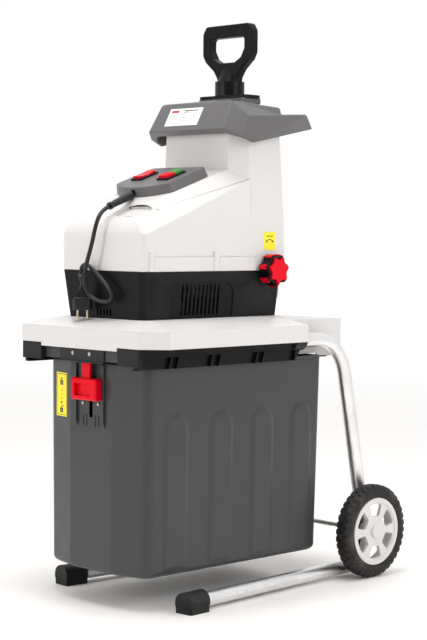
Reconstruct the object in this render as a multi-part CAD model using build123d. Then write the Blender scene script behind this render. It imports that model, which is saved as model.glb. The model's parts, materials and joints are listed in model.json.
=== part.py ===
from build123d import *
import math
import os

# Electric garden shredder on a wheeled tube frame, in millimetres.
# +Z is up, the wheels are at the back (+Y), the operator stands at the front (-Y).
# The origin is on the floor, midway between the sides and between front and back.

# ---- driving dimensions -------------------------------------------------------------------
WHEEL_R = 100.0
WHEEL_AXLE_Y = 280.0
WHEEL_INNER_X = 176.0
WHEEL_OUTER_X = 213.0
RIM_R = 72.0
AXLE_R = 5.0
RUN_FIT = 0.05                 # radial clearance of every shaft that turns in a bore

TUBE_R = 15.0
TUBE_BASE_Z = 20.0             # centre line of the run on the floor
TUBE_TOP_Z = 516.0             # centre line of the run under the deck
TUBE_SPLAY = 0.065             # sideways shift of each side frame per millimetre of length
TUBE_X0 = 167.5
TUBE_FRONT_TOP_Y = 62.0        # front end of the run under the deck
TUBE_FRONT_BASE_Y = -263.0     # front end of the run on the floor
TUBE_CORNER_Y = 219.3          # where the run under the deck would meet the leg
TUBE_LEAN = 12.7               # degrees the leg leans back
TUBE_TOP_BEND = 100.0
TUBE_BASE_BEND = 62.0

DECK_HALF = 217.0
DECK_FRONT = -380.0
DECK_WING_BACK = 49.0
DECK_BLOCK_HALF = 128.0
DECK_BLOCK_BACK = 250.0
DECK_EDGE_Z = 551.0
DECK_TOP_Z = 567.0
DECK_SKIRT_Z = 517.0
DECK_WALL = 4.0

BOX_BOTTOM_Z = 67.0
BOX_TOP_Z = 481.6
BOX_FRONT = -346.5
BOX_WALL = 3.0
RIB_PROUD = 3.0
BOX_FACET_X = 61.0             # half width of the flat part of the front

HOUSING_Z = 661.0              # split line between the base and the upper housing
HOUSING_HALF = 122.0
HOUSING_FRONT = -323.0
HOUSING_WALL = 4.0
TOWER_TOP_Z = 974.0

POD_SLOPE = 0.346              # rise of the pod platform per millimetre towards the back
POD_FRONT = (-238.0, 806.0)    # y, z where the platform starts
POD_THICK = 20.0
POD_HALF = 83.0
POD_LENGTH = 112.0

DRIVE_X = -28.0                # the motor and the cutting roller share this axis
DRIVE_Z = 655.0
COUNTER_X = 17.0
COUNTER_Z = 655.0 + math.sqrt(63.0 ** 2 - 45.0 ** 2)
GEAR_MODULE = 1.5
PINION_TEETH = 12
WHEEL_TEETH = 72
ROLLER_R = 37.0

KNOB_Y = 27.0
KNOB_Z = 661.5
SPINDLE_R = 6.0

PLUNGER_Y = 33.0
CORD_R = 4.15

os.makedirs("parts", exist_ok=True)


# ---- helpers ------------------------------------------------------------------------------
def save(name, shape):
    export_step(shape, f"parts/{name}.step")


def block(x0, x1, y0, y1, z0, z1):
    """A box given by its two corners."""
    centre = ((x0 + x1) / 2, (y0 + y1) / 2, (z0 + z1) / 2)
    return Pos(*centre) * Box(x1 - x0, y1 - y0, z1 - z0)


def side_block(side, x0, x1, y0, y1, z0, z1):
    """A box on the right (side 1) or mirrored to the left (side -1)."""
    return block(x0, x1, y0, y1, z0, z1) if side > 0 else block(-x1, -x0, y0, y1, z0, z1)


AXIS_TURNS = {"x": Rot(0, 90, 0), "y": Rot(-90, 0, 0), "z": Rot(0, 0, 0)}


def rod(axis, start, length, radius):
    """A cylinder that starts at a point and runs in the positive direction of an axis."""
    body = Cylinder(radius, length, align=(Align.CENTER, Align.CENTER, Align.MIN))
    return Pos(*start) * AXIS_TURNS[axis] * body


def ring(axis, start, length, outer, inner):
    return rod(axis, start, length, outer) - rod(axis, start, length, inner)


def group(solids):
    return Compound(children=list(solids))


def group_union(shapes):
    """Joins several shapes into one."""
    joined = shapes[0]
    for shape in shapes[1:]:
        joined += shape
    return joined


def mirrored(shape):
    return mirror(shape, about=Plane.YZ)


def prism_x(points, x0, x1):
    """A polygon of (y, z) points carried from x0 to x1."""
    face = Face(Wire.make_polygon([(x0, y, z) for y, z in points], close=True))
    return Solid.extrude(face, Vector(x1 - x0, 0, 0))


def prism_y(points, y0, y1):
    """A polygon of (x, z) points carried from y0 to y1."""
    face = Face(Wire.make_polygon([(x, y0, z) for x, z in points], close=True))
    return Solid.extrude(face, Vector(0, y1 - y0, 0))


def prism_z(points, z0, z1):
    """A polygon of (x, y) points carried from z0 to z1."""
    face = Face(Wire.make_polygon([(x, y, z0) for x, y in points], close=True))
    return Solid.extrude(face, Vector(0, 0, z1 - z0))


def ruled(points_low, z_low, points_high, z_high):
    """A solid with flat sides between two outlines at two heights."""
    low = Wire.make_polygon([(x, y, z_low) for x, y in points_low], close=True)
    high = Wire.make_polygon([(x, y, z_high) for x, y in points_high], close=True)
    return Solid.make_loft([low, high], ruled=True)


def both_halves(points):
    """Right-hand (x, y) outline points, back to front, with their mirror images."""
    return points + [(-x, y) for x, y in reversed(points)]


# ---- frame --------------------------------------------------------------------------------
def tube_x(y):
    return TUBE_X0 - TUBE_SPLAY * y


def tube_bar(radius):
    """The bent run of the right-hand side frame as a solid bar."""
    base_corner_y = TUBE_CORNER_Y + math.tan(math.radians(TUBE_LEAN)) * (TUBE_TOP_Z - TUBE_BASE_Z)
    route = [(TUBE_FRONT_TOP_Y, TUBE_TOP_Z), (TUBE_CORNER_Y, TUBE_TOP_Z),
             (base_corner_y, TUBE_BASE_Z), (TUBE_FRONT_BASE_Y, TUBE_BASE_Z)]
    path = FilletPolyline(*[(tube_x(y), y, z) for y, z in route], radius=[TUBE_TOP_BEND, TUBE_BASE_BEND])
    return sweep(Plane(origin=path @ 0, z_dir=path % 0) * Circle(radius), path=path)


def frame_tube():
    return tube_bar(TUBE_R) - tube_bar(TUBE_R - 1.5)


def foot_cap(bar):
    """Rubber foot: a flat block with a sleeve that takes the front end of the tube."""
    splay = math.degrees(math.atan(TUBE_SPLAY))
    base = fillet(Box(43, 55, 22, align=(Align.CENTER, Align.CENTER, Align.MIN)).edges().filter_by(Axis.Z), 4)
    sleeve = Pos(0, 0, TUBE_BASE_Z) * AXIS_TURNS["y"] * Cylinder(21.5, 55)
    flat = block(-30, 30, -40, 40, 0, 60)
    cap = (base + sleeve) & flat
    placed = Pos(tube_x(-240.5), -240.5, 0) * Rot(0, 0, splay) * cap
    return placed - bar


def axle_gusset(bar):
    """Welded plate in the bend of the tube that carries the axle."""
    x = tube_x(WHEEL_AXLE_Y) - 1.0
    outline = [(262, 78), (262, 116), (284, 168), (300, 168), (314, 60), (296, 52)]
    plate = prism_x(outline, x - 2.0, x + 2.0)
    boss = rod("x", (x - 8, WHEEL_AXLE_Y, WHEEL_R), 171.0 - x + 8, 10.0)
    return (plate + boss) - bar - rod("x", (0, WHEEL_AXLE_Y, WHEEL_R), 250, AXLE_R + 0.02)


# ---- wheels -------------------------------------------------------------------------------
def tyre():
    width = WHEEL_OUTER_X - WHEEL_INNER_X
    carcass = Cylinder(WHEEL_R, width) - Cylinder(RIM_R, width)
    shoulders = carcass.edges().filter_by(GeomType.CIRCLE).sort_by(SortBy.RADIUS)[-2:]
    solid = fillet(shoulders, 9)
    centre = (WHEEL_INNER_X + WHEEL_OUTER_X) / 2
    return Pos(centre, WHEEL_AXLE_Y, WHEEL_R) * Rot(0, 90, 0) * solid


def hub_window(angle):
    """One of the six openings between the spokes, drawn along +X of the wheel."""
    half = math.radians(19)
    inner, outer = 34.0, 59.0
    corners = [
        (outer * math.cos(half), outer * math.sin(half)),
        (inner * math.cos(half), inner * math.sin(half)),
        (inner * math.cos(half), -inner * math.sin(half)),
        (outer * math.cos(half), -outer * math.sin(half)),
    ]
    flank_out = Line(corners[1], corners[0])
    crown = ThreePointArc(corners[0], (outer, 0), corners[3])
    flank_in = Line(corners[3], corners[2])
    root = Line(corners[2], corners[1])
    face = make_face([flank_out, crown, flank_in, root])
    soft = fillet(face.vertices(), 4)
    return Rot(0, 0, angle) * extrude(soft, amount=60, both=True)


def hub():
    """White wheel centre, modelled with its axis along Z and its outside up."""
    barrel = Pos(0, 0, 18) * Cylinder(16, 36)
    rim = Pos(0, 0, 18) * (Cylinder(RIM_R, 35) - Cylinder(RIM_R - 5, 35))
    web = Pos(0, 0, 29) * Cylinder(RIM_R - 4, 8)
    outer_band = Pos(0, 0, 31.5) * (Cylinder(RIM_R - 1, 8) - Cylinder(62, 8))
    body = barrel + rim + web + outer_band
    for index in range(6):
        body -= hub_window(60 * index + 30)
    body -= Cylinder(AXLE_R + RUN_FIT, 100)
    body -= Pos(0, 0, 33) * Cylinder(11, 10)
    return Pos(WHEEL_INNER_X, WHEEL_AXLE_Y, WHEEL_R) * Rot(0, 90, 0) * Rot(0, 0, 90) * body


def hub_cap():
    cap = Pos(0, 0, 37.2) * Cylinder(15.0, 2.4)
    cap = fillet(cap.edges().group_by(Axis.Z)[-1], 1.5)
    lip = Pos(0, 0, 35) * (Cylinder(10.95, 3) - Cylinder(10.2, 3))
    return Pos(WHEEL_INNER_X, WHEEL_AXLE_Y, WHEEL_R) * Rot(0, 90, 0) * (cap + lip)


def axle_hardware():
    """The axle's spacer washers and the clips that hold the wheels on."""
    pieces = []
    for side in (1, -1):
        washer = ring("x", (171.4, WHEEL_AXLE_Y, WHEEL_R), 4.2, 9.0, AXLE_R + 0.02)
        clip = ring("x", (204.6, WHEEL_AXLE_Y, WHEEL_R), 2.0, 9.5, AXLE_R + 0.02)
        for piece in (washer, clip):
            pieces.append(piece if side == 1 else mirrored(piece))
    return group(pieces)


# ---- deck, rails and catch ----------------------------------------------------------------
def deck_body(inset):
    """Outer shape of the deck, or of its hollow when inset is the wall thickness."""
    half = DECK_HALF - inset
    front = DECK_FRONT + inset
    back = DECK_WING_BACK - inset
    corner = 42.0 - 0.4 * inset
    low_z = DECK_SKIRT_Z - (5.0 if inset else 0.0)
    skirt = both_halves([(half, back), (half, front + corner), (half - corner, front)])
    crown = both_halves([(135 - inset, back), (135 - inset, -300 + inset), (110 - inset, -322 + inset)])
    lower = prism_z(skirt, low_z, DECK_EDGE_Z - inset * 0.5)
    upper = ruled(skirt, DECK_EDGE_Z - inset * 0.5, crown, DECK_TOP_Z - inset)
    block_half = DECK_BLOCK_HALF - inset
    block_low = 484.0 - (5.0 if inset else 0.0)
    rear = block(-block_half, block_half, 0, DECK_BLOCK_BACK - inset, block_low, 556.0 - inset)
    return lower + upper + rear


def deck():
    outer = deck_body(0.0)
    tail = block(-DECK_BLOCK_HALF, DECK_BLOCK_HALF, 174, DECK_BLOCK_BACK, 477, 500)
    front_skirt = block(-113.5, 113.5, DECK_FRONT, DECK_FRONT + DECK_WALL, 510, 530)
    shell = outer + tail + front_skirt - deck_body(DECK_WALL)
    shell -= block(-DECK_BLOCK_HALF + 4, DECK_BLOCK_HALF - 4, 178, DECK_BLOCK_BACK - 4, 470, 510)
    for side in (1, -1):
        shell += side_block(side, 150, 172, -360, 44, DECK_SKIRT_Z, DECK_SKIRT_Z + 8)
        shell += side_block(side, 159, 163, -360, 44, 520, 556)
    shell -= block(-62, 62, -50, 66, 460, 620)
    return shell


def rail(bar):
    """Black rail that hangs under the deck and carries the rim of the box."""
    web = block(161, 165, -379, 83, 476, 517)
    band = block(161, 173, -379, 83, 499, 517)
    ledge = block(151.9, 161, -379, 83, 476, 478.5)
    end_block = block(114.5, 173, DECK_FRONT + 0.5, -368.3, 483, 516.9)
    body = web + band + ledge + end_block
    for y in (-297, -277, -186, -163, -59, -39, 56):
        slant = [(y - 1.2, 476), (y + 1.2, 476), (y + 8.2, 500), (y + 5.8, 500)]
        body += prism_x(slant, 164, 171.5)
    tail = prism_x([(83, 517), (83, 500), (66, 476), (90, 470), (95, 520)], 150, 180)
    socket = rod("y", (tube_x(70), 52, TUBE_TOP_Z), 33, 20.0)
    keep_clear = block(100, 161, -400, 100, 478.5, 483)
    return body - tail + socket - keep_clear - bar


def front_bar():
    return block(-150, 150, -368, -364, 487, 510) + block(-150, 150, -364, -360, 487, 490)


def catch_bracket():
    plate = block(-66, 66, -371.2, -368.1, 483, 516)
    lip = block(-66, 66, -375.0, -368.1, 483, 485)
    return plate + lip


def interlock_switch():
    body = block(-16, 16, -358, -342, 491, 512)
    plunger_pin = block(-3, 3, -354, -349, 484.5, 491)
    return body + plunger_pin


# ---- collection box -----------------------------------------------------------------------
def box_outline(z, inset):
    part_way = (z - BOX_BOTTOM_Z) / (BOX_TOP_Z - BOX_BOTTOM_Z)
    half = 144.0 + 5.5 * part_way - inset
    back = 162.0 + 7.0 * part_way - inset
    front = BOX_FRONT + inset
    return both_halves([(half - 14, back), (half, back - 14), (half, front + 22), (half - 6, front + 16),
                        (BOX_FACET_X, front)])


def box_body(inset, low_z, high_z):
    return ruled(box_outline(low_z, inset), low_z, box_outline(high_z, inset), high_z)


def box_ribs():
    """Four raised ribs with round tops on each side."""
    shapes = []
    for y in (-254, -130, -12, 104):
        post = block(-170, 170, y - 31, y + 31, BOX_BOTTOM_Z + 14, 353)
        cap = rod("x", (-170, y, 353), 340, 31.0)
        shapes.append(post + cap)
    return group_union(shapes) & box_body(-RIB_PROUD, BOX_BOTTOM_Z, BOX_TOP_Z)


def collection_box():
    floor_z = BOX_BOTTOM_Z + BOX_WALL
    shell = box_body(0.0, BOX_BOTTOM_Z, BOX_TOP_Z) + box_ribs()
    rim_outer = both_halves([(160, 169), (160, -318), (146, -326)])
    shell += prism_z(rim_outer, 478.8, BOX_TOP_Z)
    shell -= box_body(BOX_WALL, floor_z, BOX_TOP_Z + 0.01)
    for x in (-42.5, 39.0):
        shell += block(x, x + 3.5, BOX_FRONT - 5.5, BOX_FRONT, 350, 478)
    for x in (-24.0, -14.0, 12.0, 22.0):
        shell += block(x, x + 2.0, BOX_FRONT - 1.6, BOX_FRONT, 350, 376)
    shell -= block(-5.5, 5.5, -360, -330, 373, 443)
    return shell


def box_latch():
    """Red slide: a hollow grip in front, a stem through the slot and a keeper inside."""
    grip = block(-38, 38, -368, -348.7, 408, 451)
    grip = fillet(grip.edges().filter_by(Axis.Y), 4)
    grip = chamfer(grip.faces().sort_by(Axis.Y)[0].edges(), 3)
    recess = block(-26, 22, -372, -360, 416, 441)
    stem = block(-4.8, 4.8, -349, -341, 412, 438)
    keeper = block(-13, 13, -342.8, -339.8, 408, 441)
    tongue = block(-12, 12, -360, -354, 450, 481)
    return grip - recess + stem + keeper + tongue


def facet_label():
    """Lock label on the left front facet of the box."""
    facet_depth = 16.0
    facet_run = 81.0
    label_x = 97.0
    y = BOX_FRONT + (label_x - BOX_FACET_X) * facet_depth / facet_run
    swing = math.degrees(math.atan2(facet_depth, facet_run))
    return Pos(-label_x, y - 0.55, 411) * Rot(0, 0, -swing) * Box(43, 0.5, 88)


# ---- housings -----------------------------------------------------------------------------
def base_outline(half, front, back, corner):
    return both_halves([(half - corner, back), (half, back - corner), (half, front + corner),
                        (half - corner, front)])


def base_body(inset, low_z, high_z):
    def at(z):
        part_way = (z - DECK_TOP_Z) / (HOUSING_Z - DECK_TOP_Z)
        half = 113.0 + 9.0 * part_way
        front = -313.0 - 10.0 * part_way
        back = 68.0 + 5.0 * part_way
        return base_outline(half - inset, front + inset, back - inset, 10.0)
    return ruled(at(low_z), low_z, at(high_z), high_z)


def side_vents():
    """The slots of the air grille, cut through both sides."""
    slots = []
    for index in range(10):
        y = -213.0 + 11.0 * index
        slots.append(block(-140, 140, y, y + 5.5, 574, 634))
    return group(slots)


def vent_recess():
    """Arched shallow recess around each grille."""
    post = block(-170, 170, -244, -69, 560, 610)
    crown = block(-170, 170, -214, -99, 560, 640)
    rounds = rod("x", (-170, -214, 610), 340, 30.0) + rod("x", (-170, -99, 610), 340, 30.0)
    arch = post + crown + rounds
    return arch - base_body(1.8, DECK_TOP_Z - 10, HOUSING_Z + 1)


def base_housing():
    shell = base_body(0.0, DECK_TOP_Z, HOUSING_Z) - base_body(HOUSING_WALL, DECK_TOP_Z + 4, HOUSING_Z + 1)
    shell -= vent_recess()
    shell -= side_vents()
    for index in range(5):
        x = -20.0 + 9.5 * index
        shell -= block(x, x + 5, -330, -300, 573, 586)
    shell -= block(-62, 62, -50, 66, 560, 580)
    shell -= rod("x", (90, KNOB_Y, KNOB_Z), 60, 9.0)
    return shell


def ridge_z(y):
    """Height of the side edge of the low front part of the upper housing."""
    return 734.0 + (y + 309.0) * 0.399


def platform_z(y):
    """Height of the sloping top that the control pod sits on."""
    return POD_FRONT[1] + POD_SLOPE * (y - POD_FRONT[0])


def front_ridge(inset):
    """Low front part of the upper housing, with bevelled top edges."""
    half = HOUSING_HALF - inset
    front = HOUSING_FRONT + inset
    profile = [(front, HOUSING_Z - 1.0), (front, 757.0 - inset), (-262.0, 784.0 - inset),
               (POD_FRONT[0], POD_FRONT[1] - inset), (-60.0, platform_z(-60.0) - inset),
               (-24.0, platform_z(-60.0) - inset), (-24.0, HOUSING_Z - 1.0)]
    body = prism_x(profile, -half, half)
    across = body.edges().filter_by(Axis.X)
    shoulder = across.sort_by(lambda e: abs(e.center().Y - front) + abs(e.center().Z - 757))[0]
    body = fillet(shoulder, 46 - inset)
    plan = Pos(0, front + 200) * RectangleRounded(2 * half, 400, 14 - inset)
    body = body & Pos(0, 0, HOUSING_Z - 10) * extrude(plan, amount=300)
    for side in (1, -1):
        sections = []
        for y in (-345.0, -20.0):
            z = ridge_z(y) - 1.1 * inset
            outer = HOUSING_HALF - inset
            tri = [(side * outer, y, z), (side * (outer - 70), y, z + 82), (side * (outer + 40), y, z + 82),
                   (side * (outer + 40), y, z)]
            sections.append(Wire.make_polygon(tri, close=True))
        body = body - Solid.make_loft(sections, ruled=True)
    return body


def tower(inset):
    def section(half, back, front_half, front):
        """Outline with a bevelled front corner on each side."""
        shrink = 0.6 * inset
        return both_halves([(half - inset, back - inset), (half - inset, shrink - 30),
                            (front_half - shrink, front + inset)])

    low = section(122, 78, 98, -66)
    mid = section(122, 74, 97, -66)
    high = section(117, 60, 90, -62)
    low_z = HOUSING_Z - (1.0 if inset else 0.0)
    high_z = TOWER_TOP_Z + (1.0 if inset else 0.0)
    return ruled(low, low_z, mid, 760.0) + ruled(mid, 760.0, high, high_z)


def nose_pocket(rim, depth, height):
    """Oval prism square to the sloping nose, from depth below its surface to height above it."""
    slope = (784.0 - 757.0) / (-262.0 - HOUSING_FRONT)
    y = -274.0
    z = 757.0 + slope * (y - HOUSING_FRONT)
    surface = Plane(origin=(40, y, z), x_dir=(1, 0, 0), z_dir=(0, -slope, 1))
    oval = Ellipse(50 + rim, 25 + rim)
    return surface * Pos(0, 0, -depth) * extrude(oval, amount=depth + height)


def upper_housing():
    outer = front_ridge(0.0) + tower(0.0)
    outer = outer & block(-200, 200, -400, 200, HOUSING_Z, 1100)
    shell = outer - (front_ridge(HOUSING_WALL) + tower(HOUSING_WALL))
    for side in (1, -1):
        shell += side_block(side, 121, 124, -300, -10, HOUSING_Z, 690)
        shell += side_block(side, 121, 126, -132, -117, HOUSING_Z, 702)
        shell += side_block(side, 121, 126, -306, -294, HOUSING_Z, 702)
    shell += nose_pocket(4.0, 9.0, 0.0) & front_ridge(0.0)
    shell -= nose_pocket(0.0, 5.0, 30.0)
    shell -= rod("x", (90, KNOB_Y, KNOB_Z), 60, 9.0)
    shell -= rod("y", (0, -260, 812), 40, 6.0)
    return shell


def rear_cover():
    """Raised plate screwed to the back of the housings."""
    plate = block(-96, 96, 78.2, 90.0, 600, 771)
    plate = fillet(plate.edges().filter_by(Axis.Y), 8)
    plate = chamfer(plate.faces().sort_by(Axis.Y)[-1].edges(), 2.5)
    hollow = block(-92, 92, 78, 86.5, 604, 767)
    return plate - hollow


# ---- hood and plunger ---------------------------------------------------------------------
# Right-hand corners of the hood. A and B bound the front panel, B and C the crown, D, E and H the
# ledge behind the side crease, K, F and G the lower edge of the brim.
HOOD_POINTS = {
    "A": (109, -98, 946), "B": (102, -65, 1005.5), "C": (106, 76, 998), "D": (133, -47, 976),
    "E": (133, 129, 986), "H": (112, 75, 983), "K": (134, -68, 932.5), "F": (139, -36, 920),
    "G": (147, 132, 955),
}
HOOD_APEX = (0.0, 20.0, 1017.0)
HOOD_WALL = 4.0
HOOD_OPEN_Z = 880.0            # the hollow runs down past the lower edge


def polyhedron(points, faces):
    """A closed solid from named corners and the flat faces between them."""
    made = []
    for face in faces:
        made.append(Face(Wire.make_polygon([points[name] for name in face], close=True)))
    return Solid(Shell(made))


def hood_body(wall):
    """The hood's outer shape with wall 0, or the hollow under it."""
    points = {"T": (HOOD_APEX[0], HOOD_APEX[1], HOOD_APEX[2] - wall)}
    for name, (x, y, z) in HOOD_POINTS.items():
        low = wall > 0 and name in "AKFG"
        new_y = y + (wall if y < 0 else -wall)
        new_z = HOOD_OPEN_Z if low else z - wall
        points[name + "r"] = (x - wall, new_y, new_z)
        points[name + "l"] = (wall - x, new_y, new_z)
    half = [("A", "D", "B"), ("A", "K", "D"), ("B", "D", "H"), ("B", "H", "C"), ("D", "E", "H"),
            ("K", "F", "D"), ("F", "E", "D"), ("F", "G", "E")]
    across = ["AB", "CH", "HE", "EG", "AK", "KF", "FG"]
    faces = [("Bl", "Br", "T"), ("Cr", "Cl", "T"), ("Br", "Cr", "T"), ("Cl", "Bl", "T")]
    for side in "rl":
        faces += [tuple(name + side for name in face) for face in half]
    for first, second in across:
        faces.append((first + "l", first + "r", second + "r"))
        faces.append((first + "l", second + "r", second + "l"))
    return polyhedron(points, faces)


def hood():
    shell = hood_body(0.0) - hood_body(HOOD_WALL)
    slot = block(-40, 40, PLUNGER_Y - 16, PLUNGER_Y + 16, 900, 1100)
    pad = block(-66, 66, PLUNGER_Y - 27, PLUNGER_Y + 27, 1006, 1018)
    return shell + pad - slot


def feed_chute():
    """Funnel inside the tower, from the hood down to the cutting roller."""
    def funnel(grow):
        high = both_halves([(62 + grow, 52 + grow), (62 + grow, -14 - grow)])
        low = both_halves([(34 + grow, 47 + grow), (34 + grow, -36 - grow)])
        return ruled(low, 713.0, high, 974.0)
    flange = block(-100, 100, -30, 55.4, 971, 974)
    return funnel(2.5) + flange - funnel(0.0)


def splash_flap():
    """Slit rubber sheet that hangs in the mouth of the funnel, in front of the plunger."""
    sheet = block(-48, 48, -10, -7.5, 905, 970)
    for x in (-28, 0, 28):
        sheet -= block(x - 0.6, x + 0.6, -12, -6, 900, 960)
    return sheet


def rounded_prism_y(points, radii, y0, y1):
    """A polygon of (x, z) points with a radius at every corner, carried from y0 to y1."""
    wire = Polyline(*[(x, -z) for x, z in points], close=True)
    face = make_face(wire)
    for (x, z), radius in zip(points, radii):
        corner = face.vertices().sort_by_distance((x, -z, 0))[0]
        face = fillet(corner, radius)
    return Pos(0, y0, 0) * Rot(-90, 0, 0) * extrude(face, amount=y1 - y0)


def plunger_handle():
    """D grip, neck, socket and flange plate, in one moulding."""
    y0 = PLUNGER_Y - 10.5
    right = [(27, 1050), (29, 1062), (40, 1078), (64, 1098), (72, 1112), (72, 1158), (62, 1173)]
    outline = right + [(-x, z) for x, z in reversed(right)]
    corner_r = [1.0, 12.0, 12.0, 9.0, 14.0, 14.0, 9.0]
    grip = rounded_prism_y(outline, corner_r + corner_r[::-1], y0, y0 + 21)
    hole_right = [(22, 1094), (40, 1104), (50, 1122), (50, 1146)]
    hole_outline = hole_right + [(-x, z) for x, z in reversed(hole_right)]
    hole_r = [9.0, 9.0, 12.0, 8.0]
    hole = rounded_prism_y(hole_outline, hole_r + hole_r[::-1], y0 - 5, y0 + 26)
    grip = grip - hole
    faces_out = grip.faces().filter_by(Axis.Y)
    grip = fillet(faces_out.edges(), 3.0)
    socket = rod("z", (0, PLUNGER_Y, 1024), 30, 31.0)
    neck_low = Pos(0, PLUNGER_Y, 1054) * Circle(26)
    neck_high = Pos(0, PLUNGER_Y, 1088) * Rectangle(34, 14)
    neck = loft([neck_low, neck_high])
    flange = fillet(Box(136, 56, 6).edges().filter_by(Axis.Z), 12)
    flange = Pos(0, PLUNGER_Y, 1021.3) * flange
    return grip + socket + neck + flange


def plunger_blade():
    """Hollow push bar under the flange, screwed into the socket."""
    outer = block(-32, 32, PLUNGER_Y - 10, PLUNGER_Y + 10, 772, 1018.3)
    inner = block(-29, 29, PLUNGER_Y - 7, PLUNGER_Y + 7, 775, 1017)
    return outer - inner


# ---- controls -----------------------------------------------------------------------------
POD_ANGLE = math.degrees(math.atan(POD_SLOPE))
POD_ORIGIN = (0.0, -208.0, platform_z(-208.0))


def on_pod(shape):
    """Places a shape drawn on the pod's platform: X across, Y up the slope, Z out of it."""
    return Pos(*POD_ORIGIN) * Rot(POD_ANGLE, 0, 0) * shape


SWITCH_V = 46.0
STOP_X = 39.5
TURN_X = -39.5


def pod_outline():
    sides = [Line((POD_HALF, 0), (POD_HALF, POD_LENGTH)),
             Line((POD_HALF, POD_LENGTH), (-POD_HALF, POD_LENGTH)),
             Line((-POD_HALF, POD_LENGTH), (-POD_HALF, 0)),
             ThreePointArc((-POD_HALF, 0), (0, -31), (POD_HALF, 0))]
    return fillet(make_face(sides).vertices(), 14)


def control_pod():
    body = extrude(pod_outline(), amount=POD_THICK, taper=10)
    body = fillet(body.faces().sort_by(Axis.Z)[-1].edges(), 2)
    body -= extrude(offset(pod_outline(), amount=-6), amount=POD_THICK - 4)
    for x, half_x, half_y in ((STOP_X, 16.8, 27.0), (TURN_X, 15.8, 25.3)):
        body -= block(x - half_x, x + half_x, SWITCH_V - half_y, SWITCH_V + half_y, 5, 40)
    body -= rod("y", (0, -45, 9), 30, 6.2)
    return on_pod(body)


def switch_case(x, half_x, half_y):
    """Switch body under the pod's top with a raised frame around its rockers."""
    def shrunk(inset, z0, z1):
        return block(x - half_x + inset, x + half_x - inset,
                     SWITCH_V - half_y + inset, SWITCH_V + half_y - inset, z0, z1)

    frame = shrunk(0.0, POD_THICK, POD_THICK + 3.5)
    body = shrunk(1.5, 1.0, POD_THICK)
    well = shrunk(3.2, 8.0, 60.0)
    return on_pod(frame + body - well)


def push_button(x, v0, v1):
    button = block(x - 13.0, x + 13.0, v0, v1, 14, POD_THICK + 9)
    return on_pod(chamfer(button.faces().sort_by(Axis.Z)[-1].edges(), 1.5))


def turn_rocker():
    """Direction rocker: a shallow V that tips about a pin across its middle."""
    v = SWITCH_V
    top = POD_THICK + 5.0
    outline = [(v - 21.0, POD_THICK + 1.0), (v - 21.0, top + 3.0), (v, top), (v + 21.0, top + 3.0),
               (v + 21.0, POD_THICK + 1.0), (v, 14.0)]
    return on_pod(prism_x(outline, TURN_X - 12.2, TURN_X + 12.2))


# ---- adjusting knob -----------------------------------------------------------------------
def lobed(radius, depth, lobes=7):
    """A lobed outline as a smooth closed curve, for the knob and its face."""
    steps = 2 * lobes
    points = []
    for index in range(steps):
        angle = math.radians(360 * index / steps)
        reach = radius if index % 2 == 0 else radius - depth
        points.append((reach * math.cos(angle), reach * math.sin(angle)))
    return make_face(Spline(*points, periodic=True))


def knob_face():
    star = extrude(lobed(28.0, 6.5), amount=5.5)
    inlays = []
    for index in range(7):
        bar = block(30.2, 34.0, -5, 5, -22, -3)
        inlays.append(Rot(0, 0, 360 * index / 7) * bar)
    return group([Pos(150, KNOB_Y, KNOB_Z) * Rot(0, 90, 0) * piece for piece in [star] + inlays])


def knob_body():
    body = Pos(0, 0, -24) * extrude(lobed(33.4, 6.0), amount=24)
    for index in range(7):
        body -= Rot(0, 0, 360 * index / 7) * block(30.15, 34.0, -5.05, 5.05, -22.05, -2.95)
    skirt = Pos(0, 0, -26.8) * Cylinder(17, 5, align=(Align.CENTER, Align.CENTER, Align.MIN))
    placed = Pos(150, KNOB_Y, KNOB_Z) * Rot(0, 90, 0) * (body + skirt)
    return placed - rod("x", (100, KNOB_Y, KNOB_Z), 45, SPINDLE_R + 0.02)


def adjusting_spindle():
    """Screw spindle turned by the knob: journals, a collar and a threaded tip."""
    bar = rod("x", (34, KNOB_Y, KNOB_Z), 111, SPINDLE_R)
    for index in range(9):
        bar -= ring("x", (36 + 2.5 * index, KNOB_Y, KNOB_Z), 1.2, SPINDLE_R + 1, SPINDLE_R - 0.6)
    return bar


def pressure_plate():
    """Aluminium plate that the stems are crushed against, with the nut the spindle drives."""
    plate = block(10.5, 22.5, -35, 46, 615, 696)
    boss = rod("x", (22.4, KNOB_Y, KNOB_Z), 26, 11.0)
    return plate + boss - rod("x", (24.5, KNOB_Y, KNOB_Z), 40, SPINDLE_R + RUN_FIT)


# ---- drive --------------------------------------------------------------------------------
def gear_blank(teeth, width, bore, turn=0.0):
    """A spur gear about Z with straight-sided teeth and generous backlash."""
    pitch_r = GEAR_MODULE * teeth / 2
    tip_r = pitch_r + 0.85 * GEAR_MODULE
    root_r = pitch_r - 1.25 * GEAR_MODULE
    pitch_angle = 2 * math.pi / teeth
    outline = []
    for tooth in range(teeth):
        centre = tooth * pitch_angle + math.radians(turn)
        for reach, share in ((root_r, -0.36), (tip_r, -0.13), (tip_r, 0.13), (root_r, 0.36)):
            angle = centre + share * pitch_angle
            outline.append((reach * math.cos(angle), reach * math.sin(angle)))
    body = prism_z(outline, 0, width)
    return body - Cylinder(bore, 3 * width)


def along_drive(shape, x, z, y):
    """Turns a piece modelled about +Z so that its axis runs along +Y."""
    return Pos(x, y, z) * Rot(-90, 0, 0) * shape


def web_holes(blank, width):
    for index in range(6):
        blank -= Rot(0, 0, 60 * index) * Pos(33, 0, 0) * Cylinder(8.5, 3 * width)
    return blank


COUNTER_ANGLE = math.degrees(math.atan2(COUNTER_Z - DRIVE_Z, COUNTER_X - DRIVE_X))


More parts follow.
